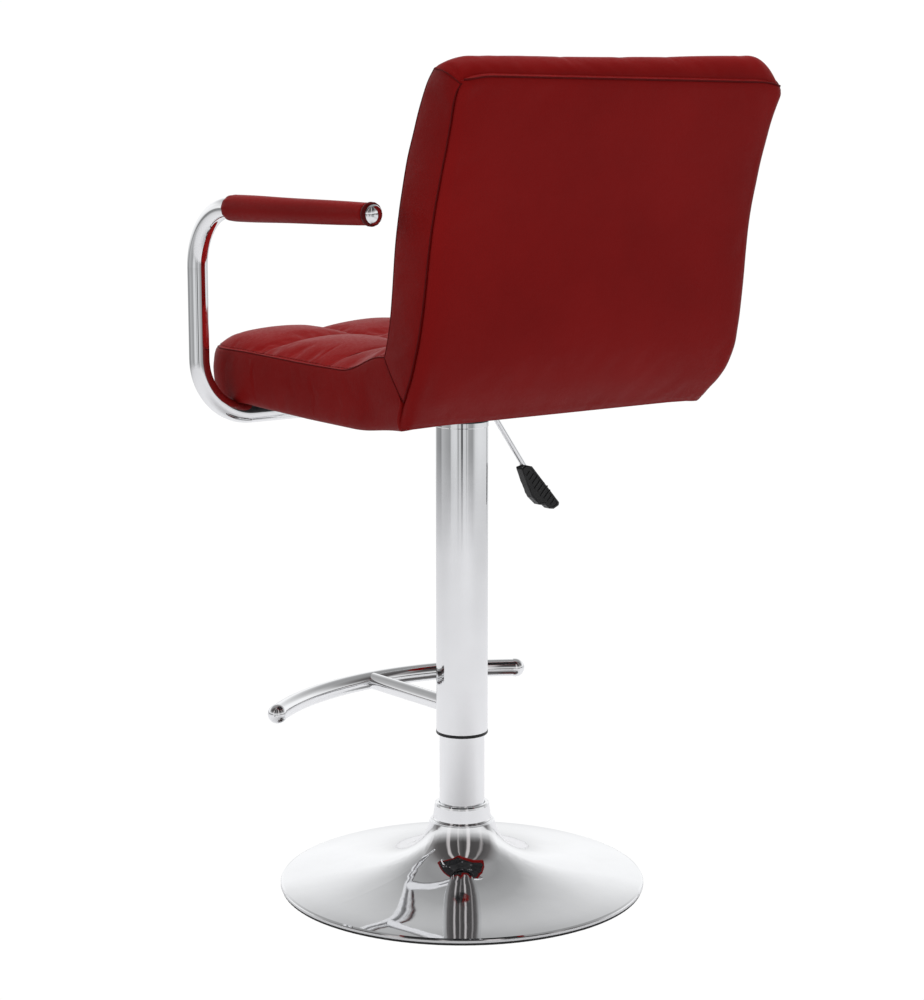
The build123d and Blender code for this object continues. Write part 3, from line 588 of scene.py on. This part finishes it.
def puff(items, frames=18):
    """Inflate the free cloth between its pinned seams, then keep the result within a cap."""
    start = {}
    for ob, pin, pressure, shrink, cap in items:
        start[ob.name] = coords(ob)
        g = ob.vertex_groups.new(name="pin")
        for w in (1.0,):
            g.add([int(i) for i in np.nonzero(pin > 0.5)[0]], w, "REPLACE")
        md = ob.modifiers.new("cloth", "CLOTH")
        st = md.settings
        st.quality = 6
        st.mass = 0.35
        st.air_damping = 2.0
        st.tension_stiffness = 18.0
        st.compression_stiffness = 18.0
        st.shear_stiffness = 6.0
        st.bending_stiffness = 0.9
        st.use_pressure = True
        st.uniform_pressure_force = pressure
        st.vertex_group_mass = "pin"
        st.pin_stiffness = 1.0
        st.shrink_min = shrink
        st.effector_weights.gravity = 0.0
        md.collision_settings.use_collision = False
        md.collision_settings.use_self_collision = False
        md.point_cache.frame_start = 1
        md.point_cache.frame_end = frames
    scene.frame_start, scene.frame_end = 1, frames
    for f in range(1, frames + 1):
        scene.frame_set(f)
    for ob, pin, pressure, shrink, cap in items:
        ob_eval = ob.evaluated_get(bpy.context.evaluated_depsgraph_get())
        co = np.zeros(len(ob.data.vertices) * 3)
        ob_eval.data.vertices.foreach_get("co", co)
        co = co.reshape(-1, 3)
        base = start[ob.name]
        d = co - base
        bad = ~np.isfinite(d).all(axis=1)
        d[bad] = 0
        n = np.linalg.norm(d, axis=1)
        k = np.where(n > 1e-9, np.minimum(1.0, cap * np.tanh(n / cap) / np.maximum(n, 1e-9)), 1.0)
        if ob.name == "back_cover" or ob.name == "seat_cushion" or ob.name == "back_cushion":
            # the boxing is cut to size and stays flatter than the quilted faces
            edge_on = np.abs(base[:, 0]) > 0.190
            k = np.where(edge_on, k * 0.35, k)
            # the crest band is pulled taut along the top of the shell
            if ob.name == "back_cushion":
                k = np.where(base[:, 2] > 0.838, k * 0.3, k)
            if ob.name == "back_cover":
                k = k * 0.6
        ob.modifiers.clear()
        set_coords(ob, base + d * k[:, None])
        print("cloth", ob.name, "mean mm", float(n.mean() * 1000), "max", float(n.max() * 1000))
    scene.frame_set(1)


seat, seat_tri, seat_n, seat_pin = build_seat()
back, back_tri, back_n, back_pin = build_back()
panel, panel_tri, panel_n, panel_pin = build_panel()
puff([(seat, seat_pin, 3.0, -0.012, 0.0045), (back, back_pin, 3.0, -0.012, 0.0045),
      (panel, panel_pin, 1.0, -0.004, 0.0025)])



def tube(verts, faces, path, r, sides=6):
    """Adds a thin closed tube along a path of points (metres)."""
    p = np.asarray(path, float)
    n = len(p)
    tan = np.gradient(p, axis=0)
    tan /= np.maximum(np.linalg.norm(tan, axis=1), 1e-9)[:, None]
    ref = np.array([0.31, 0.52, 0.79])
    base = len(verts)
    for i in range(n):
        u1 = np.cross(tan[i], ref)
        u1 /= np.linalg.norm(u1)
        u2 = np.cross(tan[i], u1)
        for j in range(sides):
            t = 2 * math.pi * j / sides
            verts.append(p[i] + r * (math.cos(t) * u1 + math.sin(t) * u2))
    for i in range(n - 1):
        for j in range(sides):
            k = (j + 1) % sides
            faces.append((base + i * sides + j, base + i * sides + k, base + (i + 1) * sides + k,
                          base + (i + 1) * sides + j))
    faces.append(tuple(base + j for j in range(sides))[::-1])
    faces.append(tuple(base + (n - 1) * sides + j for j in range(sides)))


def smooth_path(p, times=2):
    p = np.array(p, float)
    for _ in range(times):
        q = p.copy()
        q[1:-1] = 0.25 * p[:-2] + 0.5 * p[1:-1] + 0.25 * p[2:]
        p = q
    return p


def picker(ob, tri):
    """Looks up grid vertices by their indices, with outward normals."""
    table = {tuple(int(v) for v in t): i for i, t in enumerate(tri)}
    co = coords(ob)
    nn = np.zeros(len(ob.data.vertices) * 3)
    ob.data.vertices.foreach_get("normal", nn)
    nn = nn.reshape(-1, 3)

    def pick(keys, lift=0.0):
        ids = [table[k] for k in keys if k in table]
        return co[ids] + nn[ids] * lift
    return pick


def nearest(tri, axis, n, value):
    return int(np.argmin(np.abs(np.asarray(axis) - value)))


seam_v, seam_f = [], []
stitch_v, stitch_f = [], []


def seam(path, r=0.00055):
    tube(seam_v, seam_f, smooth_path(path, 1), r)


def stitches(path, length=0.0034, gap=0.0013, r=0.00034):
    p = smooth_path(path, 2)
    d = np.r_[0, np.cumsum(np.linalg.norm(np.diff(p, axis=0), axis=1))]
    t = 0.001
    while t + length < d[-1]:
        q = np.linspace(t, t + length, 4)
        seg = np.c_[np.interp(q, d, p[:, 0]), np.interp(q, d, p[:, 1]), np.interp(q, d, p[:, 2])]
        tube(stitch_v, stitch_f, seg, r, 5)
        t += length + gap


# seat: welt seam round the top, topstitch above it, quilting
pk = picker(seat, seat_tri)
na, nb, nc = seat_n
xs = [spaced(396.0, [132.0, 264.0], 5.2)]
i1 = int(np.argmin(np.abs(xs[0] * 396 - 132)))
i2 = int(np.argmin(np.abs(xs[0] * 396 - 264)))
around_top = ([(0, j, nc) for j in range(nb, -1, -1)] + [(i, 0, nc) for i in range(1, na)]
              + [(na, j, nc) for j in range(0, nb + 1)])
seam(pk(around_top, 0.0001), 0.0006)
inner_top = ([(3, j, nc) for j in range(nb - 2, 3, -1)] + [(i, 4, nc) for i in range(4, na - 3)]
             + [(na - 3, j, nc) for j in range(4, nb - 1)])
stitches(pk(inner_top, 0.0001))
seat_co = coords(seat)
row_y = [None, None]
for q, target in enumerate((-80.0, 35.0)):
    mid = [(na // 2, j, nc) for j in range(nb + 1)]
    ys = pk(mid)[:, 1] * 1000
    row_y[q] = int(np.argmin(np.abs(ys - target)))
for i in (i1, i2):
    seam(pk([(i, j, nc) for j in range(5, nb)], 0.0), 0.0005)
for j in row_y:
    seam(pk([(i, j, nc) for i in range(3, na - 2)], 0.0), 0.0005)
# back: gusset seams, crest seams, mitres and quilting
pk = picker(back, back_tri)
na, nb, nc = back_n
for i in (0, na):
    seam(pk([(i, j, nc) for j in range(nb + 1)], 0.0001), 0.0005)
    seam(pk([(i, j, 0) for j in range(nb + 1)], 0.0004), 0.0005)
    seam(pk([(i, nb, k) for k in range(nc + 1)], 0.0001), 0.0005)
    seam(pk([(i, 0, k) for k in range(nc + 1)], 0.0001), 0.0004)
seam(pk([(i, nb, 0) for i in range(na + 1)], 0.0008), 0.0007)
seam(pk([(i, nb, nc) for i in range(na + 1)], 0.0001), 0.0005)
i1 = int(np.argmin(np.abs(xs[0] * 396 - 132)))
i2 = int(np.argmin(np.abs(xs[0] * 396 - 264)))
for i in (i1, i2):
    seam(pk([(i, j, nc) for j in range(1, nb)], 0.0), 0.0005)
rows_b = spaced(276.0, [0.36 * 276, 0.69 * 276], 5.0)
for q in (0.36, 0.69):
    j = int(np.argmin(np.abs(rows_b - q)))
    seam(pk([(i, j, nc) for i in range(2, na - 1)], 0.0), 0.0005)
# rear panel: the seam along its top edge, under the crest
pk = picker(panel, panel_tri)
na, nb, nc = panel_n
seam(pk([(i, nb, nc) for i in range(2, na - 1)], 0.0005), 0.0009)
for nm, vv, ff in (("seam_lines", seam_v, seam_f), ("topstitching", stitch_v, stitch_f)):
    so = mesh_object(nm, np.array(vv), ff)
    so.data.materials.append(M["thread"])
    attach(so, "seat")

for ob, node in ((seat, "seat_pad"), (back, "back_pad"), (panel, "back_panel")):
    subdivide(ob, 1)
    ob.data.shade_smooth()
    ob.data.materials.clear()
    ob.data.materials.append(M["red_leather"])
    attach(ob, "seat")
    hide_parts(node)

# ------------------------------------------------------------- arm sleeves
def revolve_y(name, profile, x0, z0, seg=96, wobble=None):
    """A skin turned about a Y-wise axis: profile rows are (y, r)."""
    prof = np.array(profile, float)
    th = np.linspace(0, 2 * math.pi, seg, endpoint=False)
    verts, faces = [], []
    for i, (y, r) in enumerate(prof):
        for j, t in enumerate(th):
            rr = r + (wobble(y, t) if wobble and 0 < i < len(prof) - 1 else 0.0)
            verts.append((x0 + rr * math.cos(t), y, z0 + rr * math.sin(t)))
    n = len(prof)
    for i in range(n - 1):
        for j in range(seg):
            k = (j + 1) % seg
            faces.append((i * seg + j, i * seg + k, (i + 1) * seg + k, (i + 1) * seg + j))
    faces.append(tuple(range(seg))[::-1])
    faces.append(tuple((n - 1) * seg + j for j in range(seg)))
    ob = mesh_object(name, np.array(verts) * MM, faces)
    fix_normals(ob)
    return ob


ARM_X, ARM_Z = 236.0, 715.0
for sgn, hand in ((1, "left"), (-1, "right")):
    key = smooth_line([(-66.0, 10.4), (-65.2, 11.3), (-63.6, 12.1), (-60.0, 12.7), (-52.0, 12.9),
                       (-16.0, 12.75), (34.0, 12.0), (84.0, 11.3), (140.0, 10.6), (152.0, 10.35),
                       (158.0, 10.2), (159.6, 9.7)], 150)

    def ripple(y, t, s=sgn):
        # a few soft gathers at the front, a faint lengthwise seam underneath
        g = math.exp(-((y + 61.0) / 5.0) ** 2) * 0.28 * math.sin(11 * t + s)
        g += math.exp(-((y - 156.0) / 3.5) ** 2) * 0.18 * math.sin(9 * t - s)
        seam = -0.45 * math.exp(-((math.sin((t + math.pi / 2) / 2)) / 0.035) ** 2)
        return g + seam + 0.12 * math.sin(y / 23.0 + 2 * t)
    sl = revolve_y("arm_sleeve_" + hand, key, sgn * ARM_X, ARM_Z, 96, ripple)
    sl.data.materials.append(M["red_leather"])
    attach(sl, "seat")
    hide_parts("arm_pad_" + hand)
    tail = smooth_line([(159.8, 9.2), (160.4, 10.3), (161.6, 10.95), (163.2, 11.1), (164.8, 10.8),
                        (165.8, 10.1), (166.3, 9.35), (165.9, 9.15)], 60)
    hem = revolve_y("arm_hem_" + hand, tail, sgn * ARM_X, ARM_Z, 96,
                    lambda y, t: 0.10 * math.sin(14 * t))
    hem.data.materials.append(M["arm_leather"])
    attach(hem, "seat")
    dome = smooth_line([(165.2, 9.1), (166.2, 9.08), (167.6, 8.7), (169.2, 7.7), (170.5, 6.0),
                        (171.3, 3.8), (171.6, 1.6), (171.65, 0.05)], 60)
    cap = revolve_y("arm_dome_" + hand, dome, sgn * ARM_X, ARM_Z, 96)
    cap.data.materials.append(M["chrome"])
    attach(cap, "seat")
    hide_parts("arm_end_rings")
    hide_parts("arm_end_plugs")

# ---------------------------------------------------------- ribs on the grip
rib_v, rib_f = [], []
g0, g1 = np.array([-84.0, 434.0]), np.array([-123.0, 396.5])
run_dir = (g1 - g0) / np.linalg.norm(g1 - g0)
across = np.array([-run_dir[1], run_dir[0]])


def slim(p):
    """The moulded grip is thinner than its envelope, with shallow finger hollows below."""
    p = np.array(p, float)
    q = p[:, [0, 2]] / MM - g0
    s_run = q @ run_dir
    s_off = q @ across
    inner = (s_off > 0) if across[0] > 0 else (s_off < 0)
    scallop = 1.4 * np.sin(np.clip((s_run - 8.0) / 42.0, 0, 1) * math.pi * 3.0) ** 2
    off = s_off * 0.86
    off = np.where(inner & (np.abs(s_off) > 4.0), off - np.sign(s_off) * scallop, off)
    xz = g0 + s_run[:, None] * run_dir + off[:, None] * across
    return np.c_[xz[:, 0] * MM, p[:, 1] * 0.80, xz[:, 1] * MM]


for n in range(9):
    m = g0 + (g1 - g0) * (n + 0.5) / 9.0
    half = np.interp(n, [0, 2, 5, 8], [3.2, 6.6, 8.4, 5.0])
    for yy in (6.6, -6.6):
        ends2 = [m - across * half, m - across * half * 0.5, m, m + across * half * 0.5,
                 m + across * half]
        tube(rib_v, rib_f, [np.array([q[0], yy, q[1]]) * MM for q in ends2], 0.0009, 8)
rim = [(-78.5, 438.0), (-84.5, 439.6), (-91.5, 437.6), (-127.5, 397.0), (-127.0, 394.8),
       (-121.5, 391.8), (-116.2, 392.0), (-111.0, 395.6), (-102.0, 396.0), (-92.2, 404.0),
       (-86.5, 414.6), (-78.5, 438.0)]
for yy in (6.5, -6.5):
    loop = interp_line(rim, np.linspace(0, 1, 60))
    tube(rib_v, rib_f, [np.array([q[0], yy, q[1]]) * MM for q in loop], 0.0008, 8)
rib_v = slim(rib_v)
src = nodes_cad["lever_grip"]
grip = mesh_object("grip_body", slim(coords(src)), [tuple(q.vertices) for q in src.data.polygons])
fix_normals(grip)
grip.data.shade_smooth()
try:
    grip.data.set_sharp_from_angle(angle=math.radians(38))
except AttributeError:
    pass
grip.data.materials.append(M["black_plastic"])
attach(grip, "lever")
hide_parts("lever_grip")
ribs = mesh_object("grip_ribs", np.array(rib_v), rib_f)
ribs.data.materials.append(M["black_plastic"])
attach(ribs, "lever")

# ------------------------------------------- lining, stopping short of the heel
lin_src = coords(nodes_cad["under_lining"])
lz0, lz1 = float(lin_src[:, 2].min()), float(lin_src[:, 2].max())
pts = []
for cx, cy, a0 in ((136.0, 86.0, 0), (-136.0, 86.0, 90), (-136.0, -135.0, 180), (136.0, -135.0, 270)):
    for k in range(13):
        t = math.radians(a0 + 7.5 * k)
        pts.append((cx + 40 * math.cos(t), cy + 40 * math.sin(t)))
nl = len(pts)
lv = [(x * MM, y * MM, z) for z in (lz0, lz1) for x, y in pts]
lf = [tuple(range(nl))[::-1], tuple(range(nl, 2 * nl))]
lf += [(k, (k + 1) % nl, nl + (k + 1) % nl, nl + k) for k in range(nl)]
lining = mesh_object("seat_lining", np.array(lv), lf)
lining.data.materials.append(M["black_lining"])
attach(lining, "seat")
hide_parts("under_lining")

# ------------------------------------------------------------------- stage
floor_me = bpy.data.meshes.new("floor")
N = 96
ring = [(0, 0, 0)] + [(r * math.cos(2 * math.pi * i / N), r * math.sin(2 * math.pi * i / N), 0)
                      for r in (1.0, 3.6) for i in range(N)]
fc = [(0, 1 + i, 1 + (i + 1) % N) for i in range(N)]
fc += [(1 + i, 1 + N + i, 1 + N + (i + 1) % N, 1 + (i + 1) % N) for i in range(N)]
floor_me.from_pydata(ring, [], fc)
floor = link(bpy.data.objects.new("floor", floor_me))
floor.location.z = -0.0002
fm, nt, b = new_material("mat_floor")
v = object_coords(nt)
ln = nt.nodes.new("ShaderNodeVectorMath")
ln.operation = "LENGTH"
nt.links.new(v, ln.inputs[0])
fade = map_range(nt, ln.outputs["Value"], 1.9, 3.4, 1.0, 0.0)
b.inputs["Base Color"].default_value = (0.50, 0.50, 0.51, 1)
b.inputs["Roughness"].default_value = 0.9
b.inputs["Specular IOR Level"].default_value = 0.0
b.inputs["Emission Color"].default_value = (0.98, 0.985, 1, 1)
b.inputs["Emission Strength"].default_value = 0.31
out = next(n for n in nt.nodes if n.type == "OUTPUT_MATERIAL")
white = nt.nodes.new("ShaderNodeEmission")
white.inputs["Color"].default_value = (1, 1, 1, 1)
white.inputs["Strength"].default_value = 1.02
lpf = nt.nodes.new("ShaderNodeLightPath")
seen = nt.nodes.new("ShaderNodeMixShader")
nt.links.new(lpf.outputs["Is Camera Ray"], seen.inputs[0])
nt.links.new(b.outputs[0], seen.inputs[1])
nt.links.new(white.outputs[0], seen.inputs[2])
clear = nt.nodes.new("ShaderNodeBsdfTransparent")
edge_mix = nt.nodes.new("ShaderNodeMixShader")
nt.links.new(fade, edge_mix.inputs[0])
nt.links.new(clear.outputs[0], edge_mix.inputs[1])
nt.links.new(seen.outputs[0], edge_mix.inputs[2])
nt.links.new(edge_mix.outputs[0], out.inputs["Surface"])
floor.data.materials.append(fm)

# ------------------------------------------------------------------- world
world = bpy.data.worlds.new("studio")
scene.world = world
world.use_nodes = True
nt = world.node_tree
bg = next(n for n in nt.nodes if n.type == "BACKGROUND")
tc = nt.nodes.new("ShaderNodeTexCoord")
sep = nt.nodes.new("ShaderNodeSeparateXYZ")
nt.links.new(tc.outputs["Generated"], sep.inputs[0])
at = nt.nodes.new("ShaderNodeMath")
at.operation = "ARCTAN2"
nt.links.new(sep.outputs["Y"], at.inputs[0])
nt.links.new(sep.outputs["X"], at.inputs[1])
u = map_range(nt, at.outputs[0], -math.pi, math.pi, 0.0, 1.0)


def deg(d):
    return ((d + 180.0) % 360.0) / 360.0


def grey(v, blue=0.012):
    return (v, v * (1 + blue * 0.4), v * (1 + blue))


# the room round the object by compass angle: black flags, grey gaps and white panels, low down only
around = [(-180, 0.95), (-172, 0.95), (-170.6, 0.12), (-167.6, 0.12), (-166, 0.95), (-118, 1.0),
          (-104, 0.62), (-88, 0.40), (-66, 0.36), (-48, 0.30), (-45, 0.62), (-22, 0.5), (-2, 0.42),
          (4, 0.85), (22, 0.92), (30, 0.86), (33, 0.40), (36, 0.42), (38, 0.80), (46.0, 0.74),
          (48.6, 0.05), (53.4, 0.05), (56, 0.78), (67, 0.85), (71, 0.40), (75, 0.82), (80, 0.46),
          (98, 0.40), (112, 0.9), (130, 1.0), (180, 0.95)]
env = ramp(nt, u, [(deg(d) if d < 180 else 1.0, grey(v)) for d, v in around])
# by height: floor haze, a dark horizon, bright walls, a darker ceiling
zz = map_range(nt, sep.outputs["Z"], -1.0, 1.0, 0.0, 1.0)
rows = [(-1.0, 0.74), (-0.30, 0.78), (-0.03, 0.82), (0.05, 0.92), (0.10, 1.0), (0.18, 1.06),
        (0.32, 1.02), (0.46, 0.68), (0.62, 0.40), (0.80, 0.30), (1.0, 0.34)]
height = ramp(nt, zz, [((z + 1) / 2, grey(v)) for z, v in rows])
# on the camera's side of the room only: a dark horizon, and a dark ceiling with narrow windows
ahead = ramp(nt, u, [(deg(d) if d < 180 else 1.0, grey(v)) for d, v in
                     [(-180, 0.0), (-75, 0.0), (-45, 1.0), (145, 1.0), (175, 0.0), (180, 0.0)]])
band = ramp(nt, zz, [((z + 1) / 2, (v, v, v)) for z, v in
                     [(-1.0, 0.0), (-0.06, 0.0), (-0.03, 0.92), (0.045, 0.92), (0.07, 0.15),
                      (0.13, 0.15), (0.24, 0.50), (0.36, 0.76), (0.52, 0.98), (0.93, 1.0),
                      (1.0, 0.8)]])
windows = ramp(nt, u, [(deg(d) if d < 180 else 1.0, (v, v * 0.95, v * 0.95)) for d, v in
                       [(-180, 0.2), (-60, 0.2), (-30, 0.10), (-4, 0.08), (2, 0.55), (9, 0.55),
                        (13, 0.07), (34, 0.06), (38, 0.42), (43, 0.10), (56, 0.06), (64, 0.08),
                        (69, 0.6), (76, 0.6), (80, 0.07), (108, 0.08), (116, 0.35), (124, 0.08),
                        (180, 0.2)]])
both = nt.nodes.new("ShaderNodeMixRGB")
both.blend_type = "MULTIPLY"
both.inputs["Fac"].default_value = 1.0
nt.links.new(ahead, both.inputs["Color1"])
nt.links.new(band, both.inputs["Color2"])
dark_mix = nt.nodes.new("ShaderNodeMixRGB")
nt.links.new(both.outputs["Color"], dark_mix.inputs["Fac"])
nt.links.new(height, dark_mix.inputs["Color1"])
nt.links.new(windows, dark_mix.inputs["Color2"])
height = dark_mix.outputs["Color"]
low = map_range(nt, sep.outputs["Z"], -0.06, 0.03, 1.0, 0.0)
mul = nt.nodes.new("ShaderNodeMixRGB")
mul.blend_type = "MULTIPLY"
nt.links.new(low, mul.inputs["Fac"])
nt.links.new(height, mul.inputs["Color1"])
nt.links.new(env, mul.inputs["Color2"])
lp = nt.nodes.new("ShaderNodeLightPath")
cam_mix = nt.nodes.new("ShaderNodeMixRGB")
nt.links.new(lp.outputs["Is Camera Ray"], cam_mix.inputs["Fac"])
nt.links.new(mul.outputs["Color"], cam_mix.inputs["Color1"])
cam_mix.inputs["Color2"].default_value = (1.02, 1.02, 1.02, 1)
nt.links.new(cam_mix.outputs["Color"], bg.inputs["Color"])
bg.inputs["Strength"].default_value = 1.0


def area(name, loc, target, size, power, color=(1, 1, 1), glossy=True):
    d = bpy.data.lights.new(name, "AREA")
    d.shape = "RECTANGLE"
    d.size, d.size_y = size
    d.energy = power
    d.color = color
    o = link(bpy.data.objects.new(name, d))
    o.location = loc
    o.rotation_euler = (Vector(target) - Vector(loc)).to_track_quat("-Z", "Y").to_euler()
    o.visible_glossy = glossy
    return o


area("key", (-0.5, -0.5, 2.6), (0, 0, 0.6), (1.8, 1.4), 61, glossy=False)
area("rear", (0.9, 2.6, 1.7), (0, 0.2, 0.65), (1.6, 1.4), 24, glossy=False)
area("side", (2.5, 0.3, 1.1), (0, 0.0, 0.6), (1.4, 1.2), 6.5, glossy=False)

# ------------------------------------------------------------------ camera
cam_d = bpy.data.cameras.new("camera")
cam = link(bpy.data.objects.new("camera", cam_d))
AZ, PITCH, DIST, HEIGHT = math.radians(141.0), math.radians(9.326), 2.271, 0.7847
cam.location = (math.sin(AZ) * DIST, -math.cos(AZ) * DIST, HEIGHT)
look = Vector((-math.sin(AZ) * math.cos(PITCH), math.cos(AZ) * math.cos(PITCH), -math.sin(PITCH)))
cam.rotation_euler = look.to_track_quat("-Z", "Y").to_euler()
cam_d.sensor_fit = "AUTO"
cam_d.sensor_width = 36.0
cam_d.lens = 2222.0 * 36.0 / 1000.0
cam_d.clip_end = 50
scene.camera = cam

scene.view_settings.view_transform = "Standard"
scene.view_settings.look = "None"
scene.view_settings.exposure = 0.0
scene.view_settings.gamma = 1.0

bpy.context.view_layer.update()
